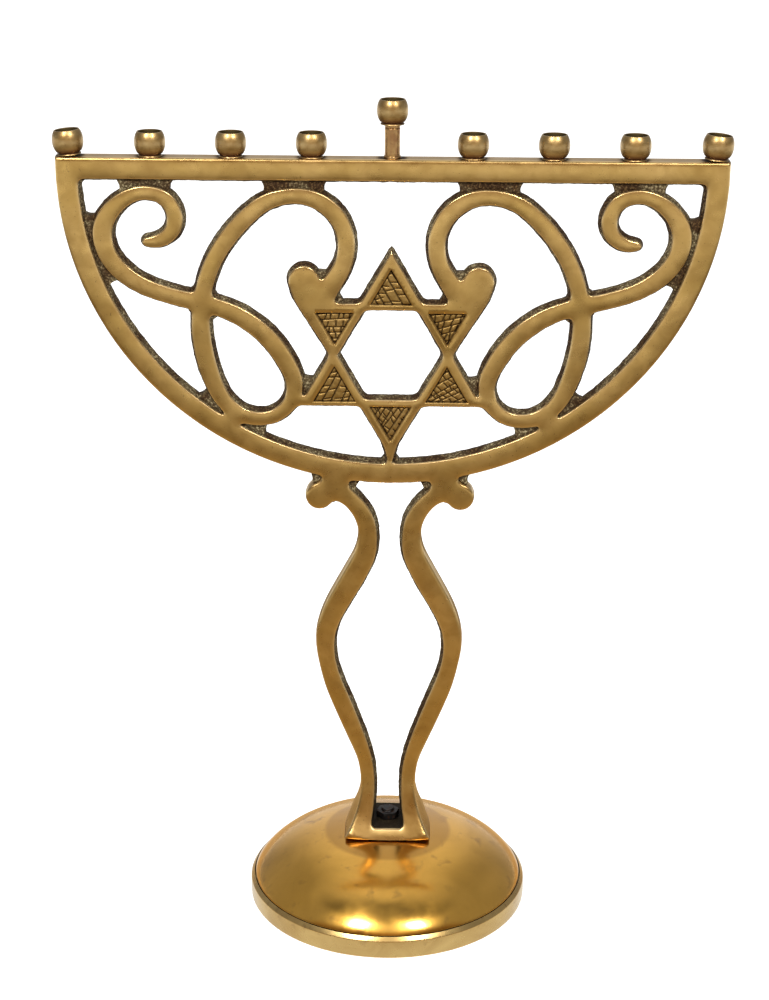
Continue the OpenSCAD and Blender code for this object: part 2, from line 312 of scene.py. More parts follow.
def panel_lines(triangle, cut):
    """Engraved strokes of one panel as pairs of end points."""
    angle, gap, cross, seed = cut
    random = np.random.default_rng(seed)
    centre = triangle.mean(axis=0)
    radius = np.linalg.norm(triangle[0] - centre)
    a, c = math.radians(angle), math.radians(cross)
    course = np.array([math.cos(a), math.sin(a)])
    across = np.array([-math.sin(a), math.cos(a)])
    stroke = np.array([math.cos(c), math.sin(c)])
    rise = float(stroke @ across)
    lines, level = [], -radius + random.uniform(0, gap)
    while level < radius:
        here = level + random.uniform(-COURSE_STRAY, COURSE_STRAY) * gap
        tilt = random.uniform(-COURSE_LEAN, COURSE_LEAN)
        middle = centre + across * here
        lines.append([middle + (course + across * tilt) * s * radius for s in (-1, 1)])
        reach = -radius + random.uniform(0, gap)
        while reach < radius:
            foot = centre + course * reach + across * here
            length = gap * random.uniform(*STROKE_LENGTH) / max(abs(rise), LEAST_RISE)
            skew = stroke + course * random.uniform(-STROKE_LEAN, STROKE_LEAN)
            lines.append([foot, foot + skew * math.copysign(length, rise)])
            reach += gap * random.uniform(*STROKE_GAP)
        level += gap * random.uniform(*COURSE_GAP)
    return lines


def distance_to_lines(points, lines):
    best = np.full(len(points), FAR)
    for a, b in lines:
        a, side = np.array(a), np.array(b) - np.array(a)
        t = np.clip((points - a) @ side / max(float(side @ side), TINY), 0, 1)
        best = np.minimum(best, np.linalg.norm(points - a - t[:, None] * side, axis=1))
    return best


def panel_inset(points, triangle):
    """Distance inside a triangle's nearest edge, negative outside."""
    if area(triangle) < 0:
        triangle = triangle[::-1]
    inset = np.full(len(points), FAR)
    for a, b in zip(triangle, np.roll(triangle, -1, axis=0)):
        side = (b - a) / np.linalg.norm(b - a)
        inset = np.minimum(inset, (points - a) @ np.array([-side[1], side[0]]))
    return inset


def panel_relief(points, triangles, sink):
    """How far each front point is sunk by the panels, and how dirty it is there."""
    depth, grime = np.zeros(len(points)), np.zeros(len(points))
    for triangle, cut in zip(triangles, PANEL_CUTS):
        inset = panel_inset(points, triangle)
        near = inset > -PANEL_REACH
        p, inset = points[near], inset[near]
        floor = smoothstep(0, PANEL_WALL, inset)
        away = distance_to_lines(p, panel_lines(triangle, cut))
        groove = np.exp(-(away / GROOVE_W) ** 2) * floor
        ditch = np.exp(-((inset - PANEL_WALL) / DITCH_W) ** 2)
        wave = wobble(np.c_[p, 0 * inset], FLOOR_WAVE_W, cut[3]) * FLOOR_WAVE_H
        pillow = PILLOW_H * (1 - np.exp(-away / PILLOW_W))
        depth[near] = floor * (sink + wave - pillow) + GROOVE_D * groove + DITCH_D * ditch
        darkening = sum(k * part for k, part in zip(PANEL_GRIME, (groove, ditch, floor)))
        grime[near] = np.clip(darkening, 0, 1)
    return depth, grime


# ---------------- cast plates

OUTER_R = 1.2  # rounding of the filed edges round the outside
FOOT_EDGE_R = 0.35  # and of the foot's lower edge
WINDOW_R = 0.45  # rounding of the sharper edges round the windows
WEB_EDGE_R = 0.4  # and of the webs' edges
WINDOW_INSET = 0.35  # how far the filed face falls short of a window's edge
CROWN, CROWN_W = 0.42, 1.9  # how far a face falls off towards its edges, and how soon
WEAR_AND_HIGHLIGHT_W = 0.4  # width of the bright line along a filed edge: rubbed brass and painted highlight
RINGS = (0.12, 0.28, 0.5, 0.85, 1.4, 2.1)  # rows of points just inside an outline
RING_CLEAR = 0.93  # part of a row's inset that its points keep from any other edge
GRID, GRID_EDGE = 2.2, 2.7  # spacing of points further in, and where they start
PANEL_GRID = 0.3  # spacing of points in an engraved panel
PANEL_EDGE, PANEL_CLEAR = 0.25, 0.5  # how far outside it they end, and the others start
LEVELS = (-0.94, -0.8, -0.55, -0.28, 0.0, 0.28, 0.55, 0.8, 0.94)  # rows across a cast side
SWELL_POWER, GRIT_POWER = 1.5, 0.25  # how the side's swelling and grit end at its edges
NOISE_Y = 5.0  # the two faces read their noise this far in front and behind

# Layers of unevenness: height, width of the features, seed
FILED_WAVES = ((0.12, 15, 1), (0.05, 6, 2))
WEB_GRIT = ((0.30, 1.5, 4), (0.25, 4, 5))
SIDE_GRIT = ((0.16, 1.3, 6), (0.22, 4, 7))


def uneven(points, layers):
    """Smooth noise in layers, in mm."""
    return sum(height * wobble(points, width, seed) for height, width, seed in layers)


def hex_grid(low, high, gap):
    rows = np.arange(low[1], high[1], gap * math.sqrt(0.75))
    return np.array([(x + (k % 2) * gap / 2, z) for k, z in enumerate(rows)
                     for x in np.arange(low[0], high[0], gap)])


def inner_points(outline, panels):
    """Points that carry the rounding, the crown and the engraving of a face."""
    rows = []
    for inset in RINGS:
        row = outline.points + outline.normals * inset
        rows.append(row[outline.depth(row) > inset * RING_CLEAR])
    low, high = outline.points.min(axis=0), outline.points.max(axis=0)
    grid = hex_grid(low, high, GRID)
    rows.append(grid[outline.depth(grid) > GRID_EDGE])
    points = np.concatenate(rows)
    fine = []
    for triangle in panels:
        points = points[panel_inset(points, triangle) < -PANEL_CLEAR]
        grid = hex_grid(triangle.min(axis=0) - 1, triangle.max(axis=0) + 1, PANEL_GRID)
        fine.append(grid[panel_inset(grid, triangle) > -PANEL_EDGE])
    return np.concatenate([points, *fine])


def rounding(depth, radius):
    """Drop of a rounded edge at a distance inside the outline."""
    inside = np.clip(radius - depth, 0, radius)
    return radius - np.sqrt(np.maximum(radius ** 2 - inside ** 2, 0))


def cast_face(outline, side, half_depth, edge_r, rough, panels, sink):
    """One face of a casting: points, triangles, numbers of the edge points, the panels' dark
    patina, and the bright line along its edges, rubbed brass and painted highlight.
    """
    flat, cells, rim = mesh_inside(outline, inner_points(outline, panels))
    depth = np.maximum(outline.depth(flat), 0)
    depth[rim] = 0
    drop = rounding(depth, edge_r(flat, outline.near_outer(flat)))
    where = np.c_[flat[:, 0], np.full(len(flat), side * NOISE_Y), flat[:, 1]]
    drop = drop + CROWN * np.exp(-depth / CROWN_W) + uneven(where, FILED_WAVES)
    darkening = np.zeros(len(flat))
    if len(panels):
        sunk, darkening = panel_relief(flat, panels, sink)
        drop += sunk
    if rough:
        drop += uneven(where, WEB_GRIT)
    y = side * (half_depth(flat, side) - np.maximum(drop, 0))
    points = np.c_[flat[:, 0], y, flat[:, 1]]
    return points, cells, np.array(rim), darkening, np.exp(-depth / WEAR_AND_HIGHLIGHT_W)


def cast_plate(loops, half_depth, edge_r, sides, side_darkening, rough, panels=(), sink=0.0):
    """A casting between a front and a back face.

    half_depth(points, side) is how far a face stands from the middle plane; side is -1
    for the front. edge_r(points, outer) is the rounding of the edges. sides(outline)
    gives how far each side swells halfway back and how polished it is, and the next
    function, of points, how much darker the sides get, mostly painted shade. rough is 1
    for bare sand-cast faces and 0 for filed ones. Returns points, faces and the
    material's attributes."""
    outline = Outline(loops, 0.0 if rough else WINDOW_INSET)
    points, faces, polish, grime, worn, rims = [], [], [], [], [], []
    count = 0
    for side in (-1, 1):
        made, cells, rim, darkening, edge_wear_and_highlight = cast_face(
            outline, side, half_depth, edge_r, rough, panels if side < 0 else (), sink)
        faces += [[count + i for i in (c if side < 0 else c[::-1])] for c in cells]
        points.append(made)
        polish.append(np.full(len(made), 1.0 - rough))
        grime.append(darkening)
        # the bright edge line: rubbed brass and painted highlight
        worn.append((1.0 - rough) * edge_wear_and_highlight)
        rims.append(rim + count)
        count += len(made)
    front, back = points[0][rims[0]], points[1][rims[1] - len(points[0])]
    swell, side_polish = sides(outline)
    rows = [rims[0]]
    for t in LEVELS:
        y = front[:, 1] + (back[:, 1] - front[:, 1]) * (t + 1) / 2
        level = np.c_[front[:, 0], y, front[:, 2]]
        grit = (1.0 - side_polish) * uneven(level, SIDE_GRIT)
        out = swell * (1 - abs(t) ** SWELL_POWER) + grit * (1 - t * t) ** GRIT_POWER
        level[:, [0, 2]] -= outline.normals * out[:, None]
        points.append(level)
        polish.append(side_polish)
        # the sides' darkening: painted shadow and shade, and a darker bar top
        grime.append(side_darkening(level))
        worn.append(np.zeros(len(level)))
        rows.append(np.arange(len(level)) + count)
        count += len(level)
    rows.append(rims[1])
    at = 0
    for loop in outline.loops:
        faces += strips([row[at:at + len(loop)] for row in rows[::-1]])
        at += len(loop)
    looks = {"polish": polish, "grime": grime, "worn": worn}
    return np.concatenate(points), faces, {k: np.concatenate(v) for k, v in looks.items()}


# ---------------- the casting

BAR_BAND = 5  # the bar's front face reaches at least this far down from its top
PANEL_AREA = 200  # mm2; a closed window smaller than this is a sunk panel
SUNK = (0.3, 1.5)  # a panel's floor lies this far behind the front; the webs lie deeper
FOOT_MIDDLE = 5  # the bolt's hole lies within this radius, the foot's outline outside it
FOOT_FLARE = 22  # height over which the foot's plan limits its depth
SWELLS = (0.3, 1.35, 0.9)  # of the outer sides, of the windows, and more on the foot's flanks
NARROW = 3.0  # a gap too narrow to file in
BAR_TOP_DARKER = 0.22  # the bar's top darker all over
FOOT_SHADOW, FOOT_SHADOW_R, FOOT_SHADOW_W = 0.9, 5.2, 1.5  # painted shadow round each cup's foot and the post's on the bar: how much, from where, width


def front_facing(cad, triangles):
    """Which triangles look to the front, and the rearmost y of each one."""
    a, b, c = (cad[triangles[:, i]] for i in range(3))
    normal = np.cross(b - a, c - a)
    facing = normal[:, 1] / np.maximum(np.linalg.norm(normal, axis=1), TINY) < -0.5
    return facing, np.max([p[:, 1] for p in (a, b, c)], axis=0)


def star_panels(loops):
    """The star's six panels among the loops, anticlockwise from the upper right."""
    panels = [l for l in loops if area(l) < 0 and len(l) < 6 and -area(l) < PANEL_AREA]
    star = np.mean([l.mean(axis=0) for l in panels], axis=0)
    panels.sort(key=lambda l: math.atan2(*(l.mean(axis=0) - star)[::-1]) % (2 * math.pi))
    return panels


def frame_half_depth(cad, face):
    """The frame's depth from the middle plane: flat, wider at the foot, within its plan."""
    order = np.argsort(-face[:, 2])
    z, y = face[order, 2][::-1], np.maximum.accumulate(-face[order, 1])[::-1]
    plan = cad[(cad[:, 2] < FOOT_Z + ON_PLANE) & (np.hypot(cad[:, 0], cad[:, 1]) > FOOT_MIDDLE)]
    limits = {}
    for side in (-1, 1):
        row = plan[(plan[:, 1] * side > 0) & (plan[:, 0] >= 0)]
        row = row[np.argsort(row[:, 0])]
        limits[side] = row[:, 0], np.abs(row[:, 1])

    def half_depth(p, side):
        limit = np.interp(np.abs(p[:, 0]), *limits[side])
        limit = np.where(p[:, 1] < FOOT_Z + FOOT_FLARE, limit, FAR)
        return np.minimum(np.interp(p[:, 1], z, y), limit)

    return half_depth


def frame_edge_r(p, outer):
    at_foot = smoothstep(FOOT_Z + 1, FOOT_Z + 4, p[:, 1])
    return np.where(outer, FOOT_EDGE_R + (OUTER_R - FOOT_EDGE_R) * at_foot, WINDOW_R)


def frame_sides(outline):
    """Swelling of the sides, none where another piece or the CAD box is met, and polish."""
    p, out = outline.points, -outline.normals
    on_top = (p[:, 1] > BAR_TOP - 0.6) & (out[:, 1] > 0.5)
    under_foot = p[:, 1] < FOOT_Z + 0.3
    at_nut = (p[:, 1] < SLOT_FLOOR + 1.5) & (np.abs(p[:, 0]) < 8)
    at_end = np.abs(p[:, 0]) > BAR_END - 1.5
    flank = smoothstep(FOOT_Z + 18, FOOT_Z + 5, p[:, 1])
    flank = flank * smoothstep(FOOT_Z, FOOT_Z + 3, p[:, 1])
    outer_swell, window_swell, flank_swell = SWELLS
    swell = np.where(outline.outer, outer_swell + flank_swell * flank, window_swell)
    swell = np.where(on_top | under_foot | at_nut | at_end, 0.0, swell)
    polished = outline.outer & ~outline.narrow(NARROW)
    return swell, polished.astype(float)


def frame_side_darkening(p):
    """Painted shadow round the feet of the cups and the post on the bar's top, the whole top
    darker, and painted shade in the slot round the nut.
    """
    feet = [base for base, _ in cup_places()[:-1]] + [np.array([0, 0, BAR_TOP])]
    away = np.min([np.linalg.norm(p - foot, axis=1) for foot in feet], axis=0)
    # painted shadow round the feet on the bar's top
    foot_shadow = FOOT_SHADOW * np.exp(-(np.maximum(away - FOOT_SHADOW_R, 0) / FOOT_SHADOW_W) ** 2)
    # the bar's top darker all over
    top = BAR_TOP_DARKER * (p[:, 2] > BAR_TOP - 0.6)
    # painted shade in the slot between the legs, round the nut
    slot = smoothstep(SLOT_FLOOR + 16, SLOT_FLOOR + 5, p[:, 2]) * (np.abs(p[:, 0]) < 9)
    return np.clip(foot_shadow + top + slot, 0, 1)


def make_casting():
    """The whole frame: tracery, stem and foot, with its sunk webs."""
    cad, triangles = cad_surface("frame_casting")
    facing, rear_y = front_facing(cad, triangles)
    front_y = np.min(cad[cad[:, 2] > BAR_TOP - BAR_BAND, 1])
    face = triangles[facing & (rear_y < front_y + ON_PLANE)]
    loops = boundary(cad, face)
    panels = star_panels(loops)
    loops = [l for l in loops if not any(l is p for p in panels)]
    near, deep = (front_y + s for s in SUNK)
    sunk = cad[np.unique(triangles[facing & (rear_y > near) & (rear_y < deep)])]
    sink = float(sunk[:, 1].mean() - front_y)
    main = cast_plate(loops, frame_half_depth(cad, cad[np.unique(face)]), frame_edge_r,
                      frame_sides, frame_side_darkening, 0.0, panels, sink)
    web_y = np.unique(np.round(rear_y[facing & (rear_y > deep)], 2))
    web_half = -float(web_y[web_y < 0].min())
    web_faces = triangles[facing & (np.abs(rear_y + web_half) < 2 * ON_PLANE)]

    def same(value):
        return lambda p, *_: np.full(len(p), value)

    def web_sides(outline):
        return np.full(len(outline.points), 0.2), np.zeros(len(outline.points))

    web = cast_plate(boundary(cad, web_faces), same(web_half), same(WEB_EDGE_R), web_sides,
                     same(0.0), 1.0)
    return build("casting", *joined(main[:2], web[:2]),
                 **{key: np.concatenate([main[2][key], web[2][key]]) for key in main[2]})


# ---------------- turned pieces

SMOOTH_BELOW = 38  # degrees; a turned piece's edges sharper than this stay sharp
FILLET_SHARE = 0.49  # of a side's length, the most that one rounded corner takes


def lathe(name, profile, centre=(0, 0, 0), axis=(0, 0, 1), steps=96, ripple=None, **values):
    """Revolves a closed (r, z) profile about an axis through centre."""
    profile = np.array(profile)
    turn = np.linspace(0, 2 * math.pi, steps, endpoint=False)
    r, z = profile.T
    points = np.stack([np.outer(np.cos(turn), r), np.outer(np.sin(turn), r),
                       np.tile(z, (steps, 1))], axis=2).reshape(-1, 3)
    if ripple:
        points = ripple(points)
    tilt = Vector((0, 0, 1)).rotation_difference(Vector(axis)).to_matrix()
    points = points @ np.array(tilt).T + np.array(centre)
    faces = strips(np.arange(len(points)).reshape(steps, -1).T, True)
    spread = {key: np.tile(numbers, steps) for key, numbers in values.items()}
    return build(name, points, faces, SMOOTH_BELOW, **spread)


def fillet(bends, radii, steps=6):
    """Closed profile through the bends, each rounded to its radius."""
    out = []
    bends = np.array(bends, float)
    for i, (p, radius) in enumerate(zip(bends, radii)):
        a, b = bends[i - 1] - p, bends[(i + 1) % len(bends)] - p
        la, lb = np.linalg.norm(a), np.linalg.norm(b)
        if radius <= 0:
            out.append(p)
            continue
        half = math.acos(np.clip(a @ b / (la * lb), -1, 1)) / 2
        reach = min(radius / math.tan(half), FILLET_SHARE * la, FILLET_SHARE * lb)
        start, end = p + a / la * reach, p + b / lb * reach
        for t in np.linspace(0, 1, steps + 1):
            out.append((1 - t) ** 2 * start + 2 * t * (1 - t) * p + t * t * end)
    return np.array(out)


FOOT_R = 5.4  # the cup's foot
BELLY_R = (CUP_HIGH[0] - CUP_LOW[0]) / 2
BELLY_Z, BELLY_RISE, BELLY_POWER = 6.2, 7.4, 2.2  # widest place, half-height, squareness
SCREW_R = 1.7  # clearance hole
SCREW_HEAD_R, SCREW_HEAD_H = 2.9, 1.7  # countersink
BELLY_SHADE_Z = (1.5, 3.6)  # painted shade in the crease over the foot and under the belly fades out between these heights
HAND_H, HAND_W = 0.035, 4.5  # hand finish: depth and width of the belly's dips
CUP_SEED = 20


def belly(z):
    """Radius of the cup's outside at a height."""
    t = abs(z - BELLY_Z) / BELLY_RISE
    return BELLY_R * (1 - t ** BELLY_POWER) ** (1 / BELLY_POWER)


def cup_profile():
    """Thin flared foot, round belly, rounded lip, straight bore and countersunk floor."""
    floor = CUP_H - BORE_H
    lip = belly(CUP_H - 0.2)
    foot = [(SCREW_R, 0), (FOOT_R - 0.1, 0), (FOOT_R, 0.12), (FOOT_R - 0.05, 0.34),
            (FOOT_R - 0.35, 0.62), (FOOT_R - 0.52, 0.86), (FOOT_R - 0.44, 1.05)]
    outside = [(belly(z), z) for z in np.linspace(1.35, CUP_H - 0.3, 26)]
    mouth = [(lip - 0.03, CUP_H - 0.1), (lip - 0.12, CUP_H), (BORE_R + 0.14, CUP_H),
             (BORE_R + 0.03, CUP_H - 0.09), (BORE_R, CUP_H - 0.3)]
    inside = [(BORE_R, z) for z in np.linspace(CUP_H - 1.2, floor + 0.9, 8)]
    bottom = [(BORE_R - 0.06, floor + 0.5), (BORE_R - 0.25, floor + 0.15), (BORE_R - 0.6, floor),
              (SCREW_HEAD_R + 0.15, floor), (SCREW_HEAD_R, floor - 0.05),
              (SCREW_R, floor - SCREW_HEAD_H)]
    return foot + outside + mouth + inside + bottom


def make_cups():
    """The eight cups on the bar and the raised one, each finished a little differently."""
    profile = cup_profile()
    radii, heights = np.array(profile).T
    inner = ((radii < BORE_R + 0.01) & (heights > 0.5)).astype(float)
    low, high = BELLY_SHADE_Z
    # painted shade in the crease over the foot and under the belly
    crevice = smoothstep(high, low, heights) * (heights > 0.55) * (radii > BORE_R - 1)
    jobs = [(f"cup_{i}", f"candle_cup_{i}") for i in range(1, 9)]
    jobs.append(("cup_raised", "shamash_cup"))
    made = []
    for seed, ((name, node), (base, axis)) in enumerate(zip(jobs, cup_places())):

        def ripple(points, seed=seed):
            dip = HAND_H * np.abs(wobble(points, HAND_W, CUP_SEED + seed))
            radius = np.linalg.norm(points[:, :2], axis=1)
            outer = (radius > BORE_R + 0.3) & (points[:, 2] > 1.5) & (points[:, 2] < CUP_H - 0.8)
            points[:, :2] *= (1 - np.where(outer, dip / radius, 0))[:, None]
            return points

        cup = lathe(name, profile, base, axis, 112, ripple, inner=inner, crevice=crevice)
        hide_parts(node)
        made.append(cup)
    return made


def make_post():
    """Spacer tube with a small turned collar at its foot."""
    h = POST_HIGH[2] - POST_LOW[2]
    flange = (POST_HIGH[0] - POST_LOW[0]) / 2
    r = flange - 0.4
    profile = fillet(
        [(SCREW_R, 0), (flange, 0), (flange, 0.8), (r + 0.06, 1.15), (r - 0.03, 2.2),
         (r - 0.06, h * 0.55), (r, h - 1.9), (r - 0.22, h - 1.6), (r, h - 1.3), (r, h),
         (SCREW_R, h)],
        [0, 0.15, 0.25, 0.3, 1, 3, 0.3, 0.2, 0.3, 0.2, 0])
    post = lathe("post", profile, (0, 0, POST_LOW[2]), steps=96)
    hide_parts("shamash_post")
    return post


DOME_BEND, DOME_FALL = 2.6, 0.8  # exponents of the dome's flat crown and round shoulder
DOME_WALL, DOME_HOLE = 1.5, 3.2  # thickness, and radius of the bolt's hole
CROWN_REFLECTION_R, CROWN_REFLECTION_FADE = 31, 1.2  # darker, duller circle on the crown round the foot: a painted reflection
DENT_H, DENT_W, DENT_SEED = 0.10, 24, 40  # shallow unevenness from spinning


def make_dome():
    """Spun shell: flat crown, rounder shoulder, edge turned down into the ring."""
    r_out = (DOME_HIGH[0] - DOME_LOW[0]) / 2 + 0.1
    z_edge = RING_HIGH[2]
    rise = DOME_HIGH[2] - z_edge

    def height(r):
        return z_edge + rise * (1 - (min(r, r_out) / r_out) ** DOME_BEND) ** DOME_FALL

    t = np.linspace(0, 1, 90)
    radii = DOME_HOLE + (r_out - DOME_HOLE) * np.sin(t * math.pi / 2)
    outside = [(r - 0.12, height(r)) for r in radii[:-1]]
    tuck = [(r_out - 0.3, z_edge + 0.5), (r_out - 0.55, z_edge), (r_out - 0.7, z_edge - 0.6),
            (r_out - 0.5, z_edge - 1.4), (r_out - 0.4, DOME_LOW[2] + 0.2),
            (r_out - 0.6, DOME_LOW[2]), (r_out - DOME_WALL - 0.2, DOME_LOW[2])]
    scale = (r_out - DOME_WALL) / r_out
    inside = [(max(DOME_HOLE, r * scale - 0.1), height(r) - DOME_WALL) for r in radii[::-1]]
    profile = outside + tuck + inside[1:]
    seam = np.zeros(len(profile))
    seam[len(outside):len(outside) + 4] = 1
    # painted reflection: a darker, duller circle on the crown round the foot
    crown = np.array([1.0 - smoothstep(CROWN_REFLECTION_R - CROWN_REFLECTION_FADE, CROWN_REFLECTION_R + CROWN_REFLECTION_FADE, r)
                      for r, _ in profile])

    def dents(points):
        slope = np.clip(np.linalg.norm(points[:, :2], axis=1) / r_out, 0, 1)
        ease = smoothstep(0.36, 0.55, slope) * smoothstep(1.0, 0.9, slope)
        top = points[:, 2] > z_edge
        dent = DENT_H * np.abs(wobble(points, DENT_W, DENT_SEED))
        points[:, 2] -= np.where(top, dent * ease, 0)
        return points

    dome = lathe("dome", profile, steps=256, ripple=dents, seam=seam, crown=crown)
    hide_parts("base_dome")
    return dome


RING_WALL = 6.9


def make_ring():
    """Turned ring: bulged side, chamfered top lip, rebate for the dome's edge."""
    r = (RING_HIGH[0] - RING_LOW[0]) / 2
    h = RING_HIGH[2]
    inner = r - RING_WALL
    seat = DOME_LOW[2]
    lip = (DOME_HIGH[0] - DOME_LOW[0]) / 2 + 0.2
    side = [(r - 0.55, 0), (r - 0.12, 0.7), (r, 2.2), (r, 5.5), (r - 0.1, h - 2),
            (lip + 0.3, h), (lip, h - 0.5)]
    profile = fillet([(inner, 0), *side, (lip, seat), (inner, seat)],
                     [0.3, 0.4, 0.8, 2, 2, 0.8, 0.4, 0.3, 0, 0.2], steps=7)
    seam = ((profile[:, 0] < lip + 0.2) & (profile[:, 1] > seat)).astype(float)
    ring = lathe("ring", profile, steps=256, seam=seam)
    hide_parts("base_ring")
    return ring


CORNER_REACH = 1.155  # a hexagon's corner over its flat, from the middle
CHAMFER, TURN_STEPS = 0.55, 144
NUT_HOLE, NUT_TURN = 2.9, math.radians(42)
HEAD_HOLE, HEAD_TURN = 1.0, math.radians(30)
ROD_R, ROD_START = 2.92, 0.6  # the bolt's shank starts inside its head
PITCH, THREAD_DEPTH, THREAD_END = 1.0, 0.32, 0.35  # its end is that much thinner
WASHER_HOLE = 3.3
STEEL_SMOOTH = 30  # degrees


def hexagon(flat_r, turn):
    """Radius at an angle of a hexagon whose flats lie at flat_r."""
    wedge = math.pi / 3
    return flat_r / math.cos((turn + wedge / 2) % wedge - wedge / 2)


def rings_of(levels, turn):
    """Rings of points round the z axis, one for each z and radius."""
    return [np.c_[np.cos(turn) * r, np.sin(turn) * r, np.full(len(turn), z)] for z, r in levels]


def hex_piece(flats, low, high, bore, twist):
    """Hexagon nut or bolt head with turned chamfers; bore is the hole's radius."""
    edge = flats / 2 * CORNER_REACH
    steep, slight = -1.2 * CHAMFER, -0.5 * CHAMFER
    outside = [(low, steep), (low + 0.25 * CHAMFER, slight), (low + CHAMFER, 0.2),
               (high - CHAMFER, 0.2), (high - 0.25 * CHAMFER, slight), (high, steep)]
    turn = np.linspace(0, 2 * math.pi, TURN_STEPS, endpoint=False)
    sides = np.array([hexagon(flats / 2, t - twist) for t in turn])
    levels = [(z, np.minimum(sides, edge + grow)) for z, grow in outside]
    levels += [(high, bore + 0.5), (high - 0.4, bore), (low + 0.4, bore), (low, bore + 0.5)]
    points = np.concatenate(rings_of(levels, turn))
    return points, strips(np.arange(len(points)).reshape(-1, TURN_STEPS), True)


def threaded_rod(radius, low, high, steps=48):
    """Bolt shank whose surface follows a helical thread."""
    turn = np.linspace(0, 2 * math.pi, steps, endpoint=False)
    levels = []
    for z in np.arange(low, high + 1e-6, PITCH / 6):
        phase = (z / PITCH - turn / (2 * math.pi)) % 1
        crest = radius - THREAD_DEPTH * np.abs(2 * phase - 1)
        levels.append((z, crest - THREAD_END * smoothstep(high - 0.5, high, z)))
    points = np.concatenate(rings_of(levels, turn))
    rings = np.arange(len(points)).reshape(-1, steps)
    return points, [rings[0][::-1], rings[-1]] + strips(rings)


def make_fasteners():
    """Nut in the slot, bolt under the dome and its washer."""
    flats = BOLT_HIGH[1] - BOLT_LOW[1]
    nut = build("nut", *hex_piece(flats, NUT_LOW[2], NUT_HIGH[2], NUT_HOLE, NUT_TURN),
                STEEL_SMOOTH)
    bolt = build("bolt", *joined(
        hex_piece(flats, BOLT_LOW[2], WASHER_LOW[2], HEAD_HOLE, HEAD_TURN),
        threaded_rod(ROD_R, BOLT_LOW[2] + ROD_START, BOLT_HIGH[2])), STEEL_SMOOTH)
    r = (WASHER_HIGH[0] - WASHER_LOW[0]) / 2
    profile = fillet([(WASHER_HOLE, WASHER_LOW[2]), (r, WASHER_LOW[2]), (r, WASHER_HIGH[2]),
                      (WASHER_HOLE, WASHER_HIGH[2])], [0.2, 0.4, 0.3, 0.2])
    washer = lathe("washer", profile, steps=96)
    for piece, node in ((nut, "base_nut"), (bolt, "base_bolt"), (washer, "base_washer")):
        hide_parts(node)
    return [nut, bolt, washer]


# ---------------- materials

class Nodes:
    """A node tree and short ways to add nodes to it."""

    def __init__(self, tree, coordinate):
        self.nodes, self.links = tree.nodes, tree.links
        self.place = self.add("TexCoord").outputs[coordinate]

    def put(self, socket, value):
        if isinstance(value, bpy.types.NodeSocket):
            self.links.new(value, socket)
        else:
            socket.default_value = value

    def add(self, kind, inputs=(), **settings):
        """A new node with its settings, and with values or links in its inputs."""
        node = self.nodes.new("ShaderNode" + kind)
        for key, value in settings.items():
            setattr(node, key, value)
        for key, value in dict(inputs).items():
            self.put(node.inputs[key], value)
        return node

    def ramp(self, value, low, high, to_low=0.0, to_high=1.0, kind="LINEAR"):
        return self.add("MapRange", {"Value": value, "From Min": low, "From Max": high,
                                     "To Min": to_low, "To Max": to_high},
                        interpolation_type=kind).outputs["Result"]

    def math(self, operation, a, b=0.0):
        return self.add("Math", {0: a, 1: b}, operation=operation).outputs[0]

    def times(self, a, b):
        return self.math("MULTIPLY", a, b)

    def mix(self, factor, a, b):
        """Between two colours."""
        a, b = ((*v, 1) if isinstance(v, tuple) else v for v in (a, b))
        return self.add("Mix", {0: factor, 6: a, 7: b}, data_type="RGBA").outputs[2]

    def mix_normal(self, factor, a, b):
        return self.add("Mix", {0: factor, 4: a, 5: b}, data_type="VECTOR").outputs[1]

    def blend(self, factor, a, b):
        """Between two numbers."""
        return self.add("Mix", {0: factor, 2: a, 3: b}).outputs[0]


class Shader(Nodes):
    """A Principled material."""

    def __init__(self, name, **constants):
        self.material = bpy.data.materials.new(name)
        self.material.use_nodes = True
        super().__init__(self.material.node_tree, "Object")
        self.principled = self.nodes["Principled BSDF"]
        for key, value in constants.items():
            self.principled.inputs[key.replace("_", " ")].default_value = value

    def noise(self, width, detail=3.0, distortion=0.0, stretch=(1, 1, 1)):
        """Noise whose features are about width mm across."""
        place = self.add("Mapping", {"Scale": stretch, "Vector": self.place})
        return self.add("TexNoise", {"Scale": 1 / (width * MM), "Detail": detail,
                                     "Distortion": distortion,
                                     "Vector": place.outputs[0]}).outputs["Fac"]

    def attribute(self, name):
        return self.add("Attribute", attribute_name=name).outputs["Fac"]

    def bump(self, height, distance, strength):
        """Relief of a height in mm."""
        return self.add("Bump", {"Strength": strength, "Distance": distance * MM,
                                 "Height": height}).outputs["Normal"]

    def finish(self, colour, roughness, normal=None):
        self.put(self.principled.inputs["Base Color"], colour)
        self.put(self.principled.inputs["Roughness"], roughness)
        if normal:
            self.links.new(normal, self.principled.inputs["Normal"])
        return self.material


